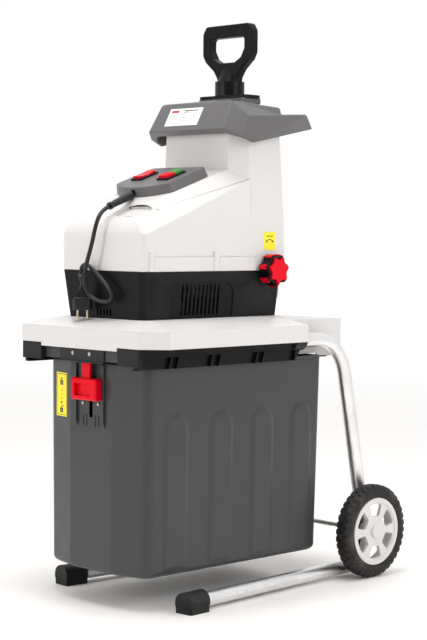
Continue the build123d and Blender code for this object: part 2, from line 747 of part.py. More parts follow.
def motor_shaft():
    """Motor shaft with the first pinion cut on its back end."""
    journal = rod("y", (DRIVE_X, -300, DRIVE_Z), 127, 7.0)
    tail = rod("y", (DRIVE_X, -174, DRIVE_Z), 24, 6.0)
    pinion = gear_blank(PINION_TEETH, 14, 1.0, turn=-COUNTER_ANGLE)
    return journal + tail + along_drive(pinion, DRIVE_X, DRIVE_Z, -165)


def counter_gear():
    half_tooth = 180.0 / WHEEL_TEETH
    blank = gear_blank(WHEEL_TEETH, 12, 6.0, turn=180.0 - COUNTER_ANGLE + half_tooth)
    return along_drive(web_holes(blank, 12), COUNTER_X, COUNTER_Z, -164)


def counter_shaft():
    """Intermediate shaft with the second pinion cut on it."""
    shaft = Pos(0, 0, 26) * Cylinder(6.0, 58)
    pinion = Pos(0, 0, 25) * gear_blank(PINION_TEETH, 20, 1.0, turn=180.0 - COUNTER_ANGLE)
    return along_drive(shaft + pinion, COUNTER_X, COUNTER_Z, -166)


def output_gear():
    half_tooth = 180.0 / WHEEL_TEETH
    blank = gear_blank(WHEEL_TEETH, 17, 10.0, turn=-COUNTER_ANGLE + half_tooth)
    return along_drive(web_holes(blank, 17), DRIVE_X, DRIVE_Z, -139.5)


def cutting_roller():
    """Steel roller with crushing teeth that work against the pressure plate."""
    teeth = 8
    outline = []
    for tooth in range(teeth):
        for share, depth in ((0.0, 0.0), (0.12, 1.5), (0.45, 12.0), (0.9, 9.0)):
            reach = ROLLER_R - depth
            angle = 2 * math.pi * (tooth + share) / teeth
            outline.append((reach * math.cos(angle), reach * math.sin(angle)))
    body = prism_z(outline, 0, 84) - Cylinder(10.0, 300)
    return along_drive(body, DRIVE_X, DRIVE_Z, -37)


def bearings():
    """Ball bearings of the motor, the intermediate shaft and the roller."""
    places = [
        (DRIVE_X, DRIVE_Z, -276.0, 14.0, 7.0), (DRIVE_X, DRIVE_Z, -181.0, 14.0, 7.0),
        (COUNTER_X, COUNTER_Z, -171.8, 14.0, 6.0), (COUNTER_X, COUNTER_Z, -115.8, 14.0, 6.0),
        (DRIVE_X, DRIVE_Z, -117.0, 19.0, 10.0), (DRIVE_X, DRIVE_Z, -49.0, 19.0, 10.0),
        (DRIVE_X, DRIVE_Z, 51.5, 19.0, 10.0),
    ]
    rings = [ring("y", (x, y, z), 7.0, outer, inner + RUN_FIT) for x, z, y, outer, inner in places]
    spindle_bush = ring("x", (58.2, KNOB_Y, KNOB_Z), 14, 12.0, SPINDLE_R + RUN_FIT)
    return group(rings + [spindle_bush])


def gear_case():
    """Cast case around both gear stages."""
    def envelope(radius, y0, length):
        drive = rod("y", (DRIVE_X, y0, DRIVE_Z), length, radius)
        counter = rod("y", (COUNTER_X, y0, COUNTER_Z), length, radius)
        return drive + counter
    case = envelope(62.0, -173, 65.5) - envelope(58.5, -168.5, 57.0)
    case += block(DRIVE_X - 30, DRIVE_X + 40, -173, -107.5, 571.2, 596)
    case -= rod("y", (DRIVE_X, -190, DRIVE_Z), 30, 9.0)
    case -= rod("y", (COUNTER_X, -172.0, COUNTER_Z), 7.2, 14.02)
    case -= rod("y", (COUNTER_X, -116.0, COUNTER_Z), 7.4, 14.02)
    case -= rod("y", (DRIVE_X, -117.2, DRIVE_Z), 20, 19.02)
    return case


def motor_case():
    """Motor can with its two end shields."""
    can = ring("y", (DRIVE_X, -270, DRIVE_Z), 86, 56.0, 52.6)
    front_shield = ring("y", (DRIVE_X, -277, DRIVE_Z), 8, 56.0, 14.02)
    back_shield = ring("y", (DRIVE_X, -184, DRIVE_Z), 10.8, 56.0, 14.02)
    foot = block(DRIVE_X - 40, DRIVE_X + 40, -262, -192, 571.2, 604)
    foot -= rod("y", (DRIVE_X, -300, DRIVE_Z), 200, 52.6)
    return can + front_shield + back_shield + foot


def motor_stator():
    core = ring("y", (DRIVE_X, -262, DRIVE_Z), 70, 52.5, 33.0)
    for index in range(24):
        angle = math.radians(15 * index)
        x = DRIVE_X + 36 * math.cos(angle)
        z = DRIVE_Z + 36 * math.sin(angle)
        core -= rod("y", (x, -262, z), 70, 2.2)
    return core


def motor_rotor():
    return ring("y", (DRIVE_X, -262, DRIVE_Z), 70, 32.2, 7.0)


def cooling_fan():
    fan = ring("y", (DRIVE_X, -299, DRIVE_Z), 3, 50.0, 7.02)
    fan += ring("y", (DRIVE_X, -299, DRIVE_Z), 14, 12.0, 7.02)
    for index in range(9):
        blade = block(13, 48, -1, 1, 0, 12)
        fan += along_drive(Rot(0, 0, 40 * index) * blade, DRIVE_X, DRIVE_Z, -297)
    return fan


def roller_shaft():
    return rod("y", (DRIVE_X, -140, DRIVE_Z), 200, 10.0)


def run_capacitor():
    return rod("y", (78, -300, 597), 66, 18.0) + rod("y", (78, -234.5, 597), 6, 5.0)


def roller_case():
    """Cast box around the roller, open to the funnel above and the chute below."""
    shell = block(-75, 64, -44, 53, 604, 712) - block(-71, 58, -40, 49, 590, 730)
    shell += block(-75, 64, -44, 53, 604, 608) - block(-57, 57, -40, 49, 600, 612)
    shell += ring("y", (DRIVE_X, -52, DRIVE_Z), 10, 24.0, 19.02)
    shell += ring("y", (DRIVE_X, 51, DRIVE_Z), 8, 24.0, 19.02)
    shell -= rod("y", (DRIVE_X, -60, DRIVE_Z), 20.1, 19.02)
    shell -= rod("y", (DRIVE_X, 49, DRIVE_Z), 20, 19.02)
    shell -= rod("x", (50, KNOB_Y, KNOB_Z), 30, 12.02)
    return shell


def discharge_chute():
    """Straight duct from the roller down into the box."""
    return block(-60, 60, -46, 62, 485, 603.9) - block(-57, 57, -43, 59, 480, 610)


# ---- cord ---------------------------------------------------------------------------------
BOOT_START = Vector(0, -243.5, 811.5)
BOOT_END = Vector(2, -303, 788)
CORD_ROUTE = [
    (2, -303, 788), (4, -321, 780.5), (6.5, -335, 766), (7, -343.5, 746), (2.5, -347, 718), (-6, -348, 693),
    (-14, -350, 668), (-16, -351.5, 645), (-12, -350, 623), (0, -345.5, 608), (20, -338.5, 601),
    (39, -333, 602), (47, -331.5, 613), (35, -333, 630), (14, -334.5, 648), (-4, -335.5, 660),
    (-20, -336.5, 671), (-33, -338.5, 673.5), (-40, -339.5, 664), (-38.5, -340, 648), (-34, -340, 633),
]
PLUG_AXIS = (-34.0, -340.0)


def cord_radii():
    """The bend radius at each corner: 0.45 of the shorter run over the tangent of half the turn."""
    points = [Vector(*p) for p in CORD_ROUTE]
    radii = []
    for before, here, after in zip(points, points[1:], points[2:]):
        run_in = here - before
        run_out = after - here
        half_turn = math.radians(run_in.get_angle(run_out)) / 2
        radii.append(0.45 * min(run_in.length, run_out.length) / math.tan(half_turn))
    return radii


def power_cord():
    radii = cord_radii()
    path = FilletPolyline(*CORD_ROUTE, radius=radii)
    tube = sweep(Plane(origin=path @ 0, z_dir=path % 0) * Circle(CORD_R), path=path)
    print("cord radii", [round(r, 1) for r in radii])
    print("cord length", round(path.length, 1), "volume ratio",
          round(tube.volume / (path.length * math.pi * CORD_R ** 2), 4))
    return tube


def cord_boot():
    direction = (BOOT_END - BOOT_START).normalized()
    length = (BOOT_END - BOOT_START).length
    cone = Cone(9.0, 6.2, length, align=(Align.CENTER, Align.CENTER, Align.MIN))
    collar = Pos(0, 0, length - 5) * Cylinder(7.6, 5, align=(Align.CENTER, Align.CENTER, Align.MIN))
    return Plane(origin=BOOT_START, z_dir=direction) * (cone + collar)


def cord_tie():
    """Rubber loop round the two upright strands of the folded cord."""
    first = (-15.6, -351.2)
    second = (-38.8, -339.9)
    angle = math.degrees(math.atan2(second[1] - first[1], second[0] - first[0]))
    span = math.hypot(second[0] - first[0], second[1] - first[1])
    outer = SlotCenterToCenter(span, 2 * (CORD_R + 2.2))
    inner = SlotCenterToCenter(span, 2 * (CORD_R + 0.7))
    band = extrude(outer - inner, amount=6)
    centre = ((first[0] + second[0]) / 2, (first[1] + second[1]) / 2)
    return Pos(centre[0], centre[1], 648) * Rot(0, 0, angle) * band


def plug_body():
    """Moulded two-pin plug, turned to face the front corner."""
    body = fillet(Box(38, 24, 23, align=(Align.CENTER, Align.CENTER, Align.MIN)).edges().filter_by(Axis.Z), 7)
    neck = loft([Pos(0, 0, 23) * Rectangle(34, 20), Pos(0, 0, 50) * Circle(6.5)], ruled=True)
    return Pos(PLUG_AXIS[0], PLUG_AXIS[1], 583) * Rot(0, 0, 45) * (body + neck)


def plug_pins():
    pins = []
    for side in (-9.5, 9.5):
        pin = Pos(side, 0, -18) * Cylinder(2.4, 18, align=(Align.CENTER, Align.CENTER, Align.MIN))
        pins.append(Pos(PLUG_AXIS[0], PLUG_AXIS[1], 583) * Rot(0, 0, 45) * pin)
    return group(pins)


# ---- labels and fasteners -----------------------------------------------------------------
def adjust_label():
    return block(HOUSING_HALF, HOUSING_HALF + 0.5, 14, 47, 703, 740)


def rating_plate():
    low, high = HOOD_POINTS["A"], HOOD_POINTS["B"]
    tilt = math.degrees(math.atan2(high[1] - low[1], high[2] - low[2]))
    y = (low[1] + high[1]) / 2
    z = (low[2] + high[2]) / 2
    return Pos(-19, y - 0.27, z + 0.15) * Rot(-tilt, 0, 0) * Box(97, 0.5, 42)


def screw(axis, start, sign, head_r=4.0, shank=8.0):
    """A pan-head screw: sign says which way its head points along the axis."""
    head_start = list(start)
    shank_start = list(start)
    index = "xyz".index(axis)
    if sign < 0:
        head_start[index] -= 1.8
    else:
        shank_start[index] -= shank
    return rod(axis, head_start, 1.8, head_r) + rod(axis, shank_start, shank, 1.8)


def latch_screws():
    return group([screw("y", (x, BOX_FRONT, 400), -1, head_r=3.2, shank=2.5) for x in (-23, 23)])


def case_screws():
    """Screws of the rear cover and of the catch bracket."""
    cover = [screw("y", (x, 90.0, z), 1, shank=3.0) for x in (-84, 84) for z in (614, 757)]
    bracket = [screw("y", (x, -371.2, 500), -1, shank=7.0) for x in (-25, 25)]
    return group(cover + bracket)


# ---- write every piece --------------------------------------------------------------------
def pair(shape):
    return group([shape, mirrored(shape)])


BAR = tube_bar(TUBE_R + 0.02)
TYRE = tyre()
HUB = hub()
CAP = hub_cap()

PARTS = {
    "frame_tubes": pair(frame_tube()),
    "foot_caps": pair(foot_cap(BAR)),
    "axle_gussets": pair(axle_gusset(BAR)),
    "wheel_axle": rod("x", (-208, WHEEL_AXLE_Y, WHEEL_R), 416, AXLE_R),
    "axle_hardware": axle_hardware(),
    "tyre_right": TYRE,
    "tyre_left": mirrored(TYRE),
    "wheel_hub_right": HUB,
    "wheel_hub_left": mirrored(HUB),
    "hub_cap_right": CAP,
    "hub_cap_left": mirrored(CAP),
    "deck_shell": deck(),
    "box_rails": pair(rail(BAR)),
    "front_bar": front_bar(),
    "catch_bracket": catch_bracket(),
    "interlock_switch": interlock_switch(),
    "collection_box": collection_box(),
    "box_latch": box_latch(),
    "latch_screws": latch_screws(),
    "lock_label": facet_label(),
    "base_housing": base_housing(),
    "upper_housing": upper_housing(),
    "rear_cover": rear_cover(),
    "case_screws": case_screws(),
    "hood": hood(),
    "rating_plate": rating_plate(),
    "feed_chute": feed_chute(),
    "splash_flap": splash_flap(),
    "plunger_handle": plunger_handle(),
    "plunger_blade": plunger_blade(),
    "control_pod": control_pod(),
    "switch_cases": group([switch_case(STOP_X, 16.5, 26.7), switch_case(TURN_X, 15.5, 25.0)]),
    "stop_button": push_button(STOP_X, SWITCH_V - 23.2, SWITCH_V - 0.3),
    "start_button": push_button(STOP_X, SWITCH_V + 0.3, SWITCH_V + 23.2),
    "direction_rocker": turn_rocker(),
    "knob_body": knob_body(),
    "knob_face": knob_face(),
    "adjusting_spindle": adjusting_spindle(),
    "pressure_plate": pressure_plate(),
    "adjust_label": adjust_label(),
    "roller_case": roller_case(),
    "cutting_roller": cutting_roller(),
    "roller_shaft": roller_shaft(),
    "output_gear": output_gear(),
    "counter_gear": counter_gear(),
    "counter_shaft": counter_shaft(),
    "gear_case": gear_case(),
    "bearings": bearings(),
    "motor_case": motor_case(),
    "motor_stator": motor_stator(),
    "motor_rotor": motor_rotor(),
    "motor_shaft": motor_shaft(),
    "cooling_fan": cooling_fan(),
    "run_capacitor": run_capacitor(),
    "discharge_chute": discharge_chute(),
    "cord_boot": cord_boot(),
    "power_cord": power_cord(),
    "cord_tie": cord_tie(),
    "plug_body": plug_body(),
    "plug_pins": plug_pins(),
}

for name, shape in PARTS.items():
    save(name, shape)
print(len(PARTS), "parts written")
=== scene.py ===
import json
import math

import bmesh
import bpy
from mathutils import Matrix, Vector

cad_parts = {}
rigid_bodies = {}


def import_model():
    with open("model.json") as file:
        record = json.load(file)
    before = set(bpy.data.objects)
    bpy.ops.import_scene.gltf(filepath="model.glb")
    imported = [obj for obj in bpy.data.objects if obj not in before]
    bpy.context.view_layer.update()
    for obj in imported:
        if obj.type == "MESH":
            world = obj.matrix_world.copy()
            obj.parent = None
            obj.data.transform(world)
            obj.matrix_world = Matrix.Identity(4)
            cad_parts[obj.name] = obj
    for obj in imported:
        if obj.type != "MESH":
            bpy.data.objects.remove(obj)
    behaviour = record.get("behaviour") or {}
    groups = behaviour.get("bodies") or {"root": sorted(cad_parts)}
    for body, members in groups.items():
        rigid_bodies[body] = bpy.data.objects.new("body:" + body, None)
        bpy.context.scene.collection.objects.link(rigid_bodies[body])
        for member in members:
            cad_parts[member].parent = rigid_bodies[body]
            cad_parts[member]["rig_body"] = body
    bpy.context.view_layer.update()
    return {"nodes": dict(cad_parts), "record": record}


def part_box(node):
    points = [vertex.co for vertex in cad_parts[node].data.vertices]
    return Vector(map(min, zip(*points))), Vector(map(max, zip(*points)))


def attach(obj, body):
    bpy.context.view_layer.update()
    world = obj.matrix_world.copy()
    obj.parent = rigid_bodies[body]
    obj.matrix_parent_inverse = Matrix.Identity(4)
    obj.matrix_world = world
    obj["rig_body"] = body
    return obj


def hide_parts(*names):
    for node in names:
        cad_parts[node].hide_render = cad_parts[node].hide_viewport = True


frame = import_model()
nodes = frame["nodes"]
SLOT_OF = {part["node"]: part["material_slot"] for part in frame["record"]["subparts"]}

# ---- sizes shared by several pieces, in metres ------------------------------------------------
MM = 0.001
WHEEL_CENTRE = Vector((0.1945, 0.280, 0.100))
CORD_R = 0.00415


# ---- camera -----------------------------------------------------------------------------------
def make_camera():
    """The camera stands 3.6 m away at the front right corner, a little above the deck."""
    turn = math.radians(45.288)
    dip = math.radians(3.001)
    roll = math.radians(0.503)
    forward = Vector((-math.sin(turn) * math.cos(dip), math.cos(turn) * math.cos(dip), -math.sin(dip)))
    right = Vector((math.cos(turn), math.sin(turn), 0.0))
    up = right.cross(forward)
    across = right * math.cos(roll) + up * math.sin(roll)
    upright = up * math.cos(roll) - right * math.sin(roll)
    camera_data = bpy.data.cameras.new("camera")
    camera_data.lens = 94.88
    camera_data.sensor_width = 36.0
    camera = bpy.data.objects.new("camera", camera_data)
    bpy.context.scene.collection.objects.link(camera)
    pose = Matrix((across, upright, -forward)).transposed().to_4x4()
    pose.translation = Vector((2.5167, -2.5006, 0.7399))
    camera.matrix_world = pose
    bpy.context.scene.camera = camera


make_camera()


# ---- materials --------------------------------------------------------------------------------
def tone(red, green, blue):
    """Linear colour of a screen colour given from 0 to 255."""
    levels = []
    for value in (red, green, blue):
        share = value / 255.0
        levels.append(share / 12.92 if share <= 0.04045 else ((share + 0.055) / 1.055) ** 2.4)
    return (levels[0], levels[1], levels[2], 1.0)


class Shader:
    """A small helper that adds and links nodes of one material."""

    def __init__(self, name):
        self.material = bpy.data.materials.new(name)
        self.material.use_nodes = True
        self.tree = self.material.node_tree
        self.surface = self.tree.nodes["Principled BSDF"]
        self.place = self.add("ShaderNodeTexCoord").outputs["Object"]

    def add(self, kind, **settings):
        node = self.tree.nodes.new(kind)
        for key, value in settings.items():
            setattr(node, key, value)
        return node

    def link(self, output, socket):
        self.tree.links.new(output, socket)

    def stretched(self, scale):
        mapping = self.add("ShaderNodeMapping")
        mapping.inputs["Scale"].default_value = scale
        self.link(self.place, mapping.inputs["Vector"])
        return mapping.outputs["Vector"]

    def noise(self, scale, detail=3.0, place=None):
        node = self.add("ShaderNodeTexNoise")
        node.inputs["Scale"].default_value = scale
        node.inputs["Detail"].default_value = detail
        self.link(place or self.place, node.inputs["Vector"])
        return node.outputs["Fac"]

    def spread(self, value, low, high, to_low, to_high):
        node = self.add("ShaderNodeMapRange")
        for key, number in (("From Min", low), ("From Max", high), ("To Min", to_low), ("To Max", to_high)):
            node.inputs[key].default_value = number
        self.link(value, node.inputs["Value"])
        return node.outputs["Result"]

    def mix(self, factor, first, second):
        node = self.add("ShaderNodeMix", data_type="RGBA")
        self.link(factor, node.inputs["Factor"])
        for socket, colour in ((node.inputs[6], first), (node.inputs[7], second)):
            if isinstance(colour, tuple):
                socket.default_value = colour
            else:
                self.link(colour, socket)
        return node.outputs[2]

    def edges(self):
        """Bright on worn outer edges."""
        pointiness = self.add("ShaderNodeNewGeometry").outputs["Pointiness"]
        return self.spread(pointiness, 0.52, 0.62, 0.0, 1.0)

    def rounded(self, radius):
        bevel = self.add("ShaderNodeBevel", samples=6)
        bevel.inputs["Radius"].default_value = radius
        return bevel.outputs["Normal"]

    def bump(self, height, depth, strength, normal=None):
        node = self.add("ShaderNodeBump")
        node.inputs["Distance"].default_value = depth
        node.inputs["Strength"].default_value = strength
        self.link(height, node.inputs["Height"])
        if normal is not None:
            self.link(normal, node.inputs["Normal"])
        return node.outputs["Normal"]


def scaled(colour, factor):
    return (min(colour[0] * factor, 1.0), min(colour[1] * factor, 1.0), min(colour[2] * factor, 1.0), 1.0)


def moulded(name, colour, rough, grain=0.0007, relief=0.25, cloud=0.05, worn=0.12, edge=0.0009, dust=0.0,
            sheen_level=0.3):
    """Moulded plastic or rubber: cloudy colour, a fine spark-eroded grain, rubbed edges and soft corners."""
    shader = Shader(name)
    shader.surface.inputs["Specular IOR Level"].default_value = sheen_level
    clouds = shader.spread(shader.noise(7.0, 4.0), 0.3, 0.7, 0.0, 1.0)
    body = shader.mix(clouds, scaled(colour, 1.0 - cloud), scaled(colour, 1.0 + cloud))
    speck = shader.spread(shader.noise(900.0, 2.0), 0.35, 0.65, 0.0, 0.35)
    body = shader.mix(speck, body, scaled(colour, 1.0 - 1.6 * cloud))
    rubbed = tuple(value + (0.75 - value) * worn for value in colour[:3]) + (1.0,)
    body = shader.mix(shader.edges(), body, rubbed)
    if dust:
        grit = shader.spread(shader.noise(38.0, 6.0), 0.5, 0.75, 0.0, dust)
        body = shader.mix(grit, body, tone(150, 143, 132))
    shader.link(body, shader.surface.inputs["Base Color"])
    rubs = shader.spread(shader.noise(24.0, 5.0), 0.3, 0.7, rough - 0.06, rough + 0.07)
    shader.link(rubs, shader.surface.inputs["Roughness"])
    fine = shader.noise(0.6 / grain, 2.0)
    normal = shader.bump(fine, grain * 0.25, relief, shader.rounded(edge))
    shader.link(normal, shader.surface.inputs["Normal"])
    return shader.material


def metal(name, colour, rough, streak=(420.0, 14.0, 14.0), relief=0.12, stain=0.10, edge=0.0006):
    """Drawn, turned or cast metal with streaks along the work and slight staining."""
    shader = Shader(name)
    shader.surface.inputs["Metallic"].default_value = 1.0
    lines = shader.noise(1.0, 3.0, shader.stretched(streak))
    stains = shader.spread(shader.noise(16.0, 5.0), 0.35, 0.7, 0.0, 1.0)
    body = shader.mix(stains, scaled(colour, 1.0 + stain * 0.3), scaled(colour, 1.0 - stain))
    body = shader.mix(shader.spread(lines, 0.4, 0.62, 0.0, 0.5), body, scaled(colour, 1.0 - 1.2 * stain))
    shader.link(body, shader.surface.inputs["Base Color"])
    gloss = shader.spread(lines, 0.3, 0.7, rough - 0.07, rough + 0.1)
    shader.link(gloss, shader.surface.inputs["Roughness"])
    normal = shader.bump(lines, 0.0001, relief, shader.rounded(edge))
    shader.link(normal, shader.surface.inputs["Normal"])
    return shader.material


def printed(name, colour, rough=0.42):
    """Printed film: even colour with a faint fibre and a slight sheen change."""
    shader = Shader(name)
    fibre = shader.spread(shader.noise(260.0, 4.0), 0.35, 0.65, 0.0, 1.0)
    body = shader.mix(fibre, scaled(colour, 0.96), scaled(colour, 1.03))
    shader.link(body, shader.surface.inputs["Base Color"])
    gloss = shader.spread(fibre, 0.0, 1.0, rough - 0.05, rough + 0.06)
    shader.link(gloss, shader.surface.inputs["Roughness"])
    shader.link(shader.bump(fibre, 0.00005, 0.2), shader.surface.inputs["Normal"])
    return shader.material


LOOKS = {
    "white_plastic": moulded("white_plastic", tone(219, 216, 214), 0.34, grain=0.0006, relief=0.10,
                             cloud=0.012, worn=0.0, edge=0.0022, sheen_level=0.35),
    "black_plastic": moulded("black_plastic", tone(16, 15, 15), 0.36, grain=0.0008, relief=0.35,
                             worn=0.02, edge=0.0014, sheen_level=0.14),
    "dark_paint": moulded("dark_paint", tone(30, 29, 30), 0.36, relief=0.2, worn=0.05),
    "dark_grey_plastic": moulded("dark_grey_plastic", tone(60, 60, 61), 0.34, grain=0.0009, relief=0.3,
                                 worn=0.04, edge=0.0016, sheen_level=0.4),
    "mid_grey_plastic": moulded("mid_grey_plastic", tone(100, 98, 99), 0.40, relief=0.3, worn=0.05,
                                edge=0.0018),
    "red_plastic": moulded("red_plastic", tone(228, 0, 30), 0.32, relief=0.12, worn=0.0, sheen_level=0.14),
    "green_plastic": moulded("green_plastic", tone(70, 140, 62), 0.34, relief=0.15, worn=0.02),
    "black_rubber": moulded("black_rubber", tone(20, 19, 19), 0.5, relief=0.4, worn=0.02, dust=0.03,
                            edge=0.0020, sheen_level=0.2),
    "tyre_rubber": moulded("tyre_rubber", tone(36, 34, 33), 0.60, grain=0.0012, relief=0.5, worn=0.02,
                           dust=0.14),
    "cord_rubber": moulded("cord_rubber", tone(22, 21, 21), 0.36, grain=0.0005, relief=0.2, worn=0.0,
                           sheen_level=0.4),
    "alu_tube": metal("alu_tube", tone(236, 235, 235), 0.32),
    "zinc_steel": metal("zinc_steel", tone(188, 186, 182), 0.30, streak=(90.0, 90.0, 90.0)),
    "cast_alu": metal("cast_alu", tone(168, 168, 166), 0.52, streak=(300.0, 300.0, 300.0), relief=0.5),
    "dark_steel": metal("dark_steel", tone(96, 94, 92), 0.40, streak=(160.0, 22.0, 160.0)),
    "motor_steel": metal("motor_steel", tone(120, 120, 124), 0.44, streak=(120.0, 500.0, 120.0)),
    "brass_pin": metal("brass_pin", tone(206, 196, 168), 0.24, streak=(60.0, 60.0, 400.0)),
    "yellow_label": printed("yellow_label", tone(250, 232, 30)),
    "white_label": printed("white_label", tone(238, 238, 236)),
}
INK = printed("ink", tone(38, 36, 36), 0.5)
PALE_INK = printed("pale_ink", tone(150, 150, 152), 0.5)
RED_INK = printed("red_ink", tone(190, 70, 66), 0.5)

for node_name, node_object in nodes.items():
    look = LOOKS[SLOT_OF[node_name]]
    if node_object.material_slots:
        for material_slot in node_object.material_slots:
            material_slot.material = look
    else:
        node_object.data.materials.append(look)


# ---- mesh helpers -----------------------------------------------------------------------------
def body_of(node):
    return nodes[node]["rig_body"]


def add_piece(name, mesh, look, body):
    """Links a mesh as a piece that moves with a body."""
    piece = bpy.data.objects.new(name, mesh)
    bpy.context.scene.collection.objects.link(piece)
    if not mesh.materials:
        mesh.materials.append(look)
    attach(piece, body)
    return piece


def mesh_from(name, points, faces, smooth=True):
    mesh = bpy.data.meshes.new(name)
    mesh.from_pydata(points, [], faces)
    if smooth:
        mesh.shade_smooth()
    mesh.update()
    return mesh


def softened(node, width, segments=2, angle=28.0, flat=0.8):
    """A copy of a CAD node with every sharp edge rounded over. It stands for the node."""
    mesh = nodes[node].data.copy()
    shape = bmesh.new()
    shape.from_mesh(mesh)
    bmesh.ops.remove_doubles(shape, verts=shape.verts, dist=0.00002)
    bmesh.ops.dissolve_limit(shape, angle_limit=math.radians(flat), verts=shape.verts, edges=shape.edges)
    shape.to_mesh(mesh)
    shape.free()
    mesh.shade_smooth()
    mesh.materials.clear()
    piece = add_piece(node + "_form", mesh, LOOKS[SLOT_OF[node]], body_of(node))
    bevel = piece.modifiers.new("rounded_edges", "BEVEL")
    bevel.width = width
    bevel.segments = segments
    bevel.limit_method = "ANGLE"
    bevel.angle_limit = math.radians(angle)
    bevel.use_clamp_overlap = False
    normals = piece.modifiers.new("even_normals", "WEIGHTED_NORMAL")
    normals.keep_sharp = False
    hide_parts(node)
    return piece


def revolved(name, profile, steps, reach_at):
    """Turns an (along, radius) profile about X. reach_at gives the radius at each step and row."""
    points = []
    for step in range(steps):
        angle = 2 * math.pi * step / steps
        for row, (along, radius) in enumerate(profile):
            reach = reach_at(step, row, radius)
            points.append((along, reach * math.cos(angle), reach * math.sin(angle)))
    rows = len(profile)
    faces = []
    for step in range(steps):
        after = (step + 1) % steps
        for row in range(rows - 1):
            here = step * rows + row
            there = after * rows + row
            faces.append((here, there, there + 1, here + 1))
    return mesh_from(name, points, faces)


# ---- cord, plug and tie -----------------------------------------------------------------------
CORD_ROUTE = [
    (2, -303, 788), (4, -321, 780.5), (6.5, -335, 766), (7, -343.5, 746), (2.5, -347, 718), (-6, -348, 693),
    (-14, -350, 668), (-16, -351.5, 645), (-12, -350, 623), (0, -345.5, 608), (20, -338.5, 601),
    (39, -333, 602), (47, -331.5, 613), (35, -333, 630), (14, -334.5, 648), (-4, -335.5, 660),
    (-20, -336.5, 671), (-33, -338.5, 673.5), (-40, -339.5, 664), (-38.5, -340, 648), (-34, -340, 633),
]


def make_cord():
    curve = bpy.data.curves.new("power_cord_run", "CURVE")
    curve.dimensions = "3D"
    spline = curve.splines.new("NURBS")
    spline.points.add(len(CORD_ROUTE) - 1)
    for point, place in zip(spline.points, CORD_ROUTE):
        point.co = (place[0] * MM, place[1] * MM, place[2] * MM, 1.0)
    spline.order_u = 3
    spline.use_endpoint_u = True
    spline.resolution_u = 12
    curve.bevel_depth = CORD_R
    curve.bevel_resolution = 6
    curve.materials.append(LOOKS["cord_rubber"])
    cord = bpy.data.objects.new("power_cord_run", curve)
    bpy.context.scene.collection.objects.link(cord)
    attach(cord, body_of("power_cord"))
    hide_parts("power_cord")
    return cord


cord = make_cord()
plug = softened("plug_body", 1.6 * MM, 3)


# ---- softened CAD shells ----------------------------------------------------------------------
SOFT_EDGES = {
    "upper_housing": 1.8, "rear_cover": 1.0, "control_pod": 1.4, "switch_cases": 0.6,
    "stop_button": 1.0, "start_button": 1.0, "direction_rocker": 1.0, "knob_body": 1.2, "catch_bracket": 0.6,
    "wheel_hub_right": 1.0, "wheel_hub_left": 1.0,
}
for soft_node, soft_width in SOFT_EDGES.items():
    softened(soft_node, soft_width * MM)
softened("hood", 3.0 * MM, 4, angle=9.0)


# ---- collection box, in millimetres -----------------------------------------------------------
BOX_LOW = 67.0
BOX_HIGH = 481.6
BOX_FRONT = -346.5
BOX_WALL = 3.0
FLOOR_HALF = 144.0
SIDE_LEAN = 5.5
FLOOR_BACK = 162.0
BACK_LEAN = 7.0
FACET_X = 61.0
FACET_DEPTH = 19.0
CORNER_RADII = [16.0, 22.0, 30.0, 0, 0, 30.0, 22.0, 16.0]
BOTTOM_R = 13.0
BOTTOM_STEPS = 5
BOX_GRID = 4.2
SLOT_HALF = 5.5
SLOT_LOW = 373.0
SLOT_HIGH = 443.0
RIB_PLACES = (-254.0, -130.0, -12.0, 104.0)
RIB_HALF = 31.0
RIB_TOP = 353.0
RIB_FOOT = 81.0
RIB_PROUD = 2.9
RIB_EDGE = 4.5
RIB_SIDE_BAND = 4.0


def rounded_outline(corners, radii, spacing):
    """Closed outline of a polygon with its corners rounded, as points about spacing apart.

    A corner with no radius lies on a straight side and stays a point.
    """
    points = []
    count = len(corners)
    arcs = []
    for index, corner in enumerate(corners):
        here = Vector(corner)
        if radii[index] == 0:
            arcs.append([here])
            continue
        before = (Vector(corners[index - 1]) - here).normalized()
        after = (Vector(corners[(index + 1) % count]) - here).normalized()
        half = before.angle(after) / 2
        reach = radii[index] / math.tan(half)
        centre = here + (before + after).normalized() * radii[index] / math.sin(half)
        start = here + before * reach - centre
        end = here + after * reach - centre
        sweep = start.angle(end)
        steps = max(2, int(math.ceil(radii[index] * sweep / spacing)) + 2)
        arcs.append([centre + start.slerp(end, step / steps).normalized() * radii[index]
                     for step in range(steps + 1)])
    for index, arc in enumerate(arcs):
        points += arc
        run = arcs[(index + 1) % count][0] - arc[-1]
        steps = int(run.length / spacing)
        points += [arc[-1] + run * (step / steps) for step in range(1, steps)]
    return points


def box_corners(z):
    """Corners of the bin's outline at a height, anticlockwise from the right back one."""
    part_way = (z - BOX_LOW) / (BOX_HIGH - BOX_LOW)
    half = FLOOR_HALF + SIDE_LEAN * part_way
    back = FLOOR_BACK + BACK_LEAN * part_way
    right = [(half, back), (half, BOX_FRONT + FACET_DEPTH), (FACET_X, BOX_FRONT), (SLOT_HALF, BOX_FRONT)]
    return right + [(-x, y) for x, y in reversed(right)]


def smooth_step(value):
    value = min(max(value, 0.0), 1.0)
    return value * value * (3 - 2 * value)


def rib_height(y, z):
    """How far the side wall stands out: four posts with round tops and soft edges."""
    proud = 0.0
    for centre in RIB_PLACES:
        if z > RIB_TOP:
            inside = RIB_HALF - math.hypot(y - centre, z - RIB_TOP)
        else:
            inside = min(RIB_HALF - abs(y - centre), z - RIB_FOOT)
        proud = max(proud, smooth_step(inside / RIB_EDGE))
    return RIB_PROUD * proud


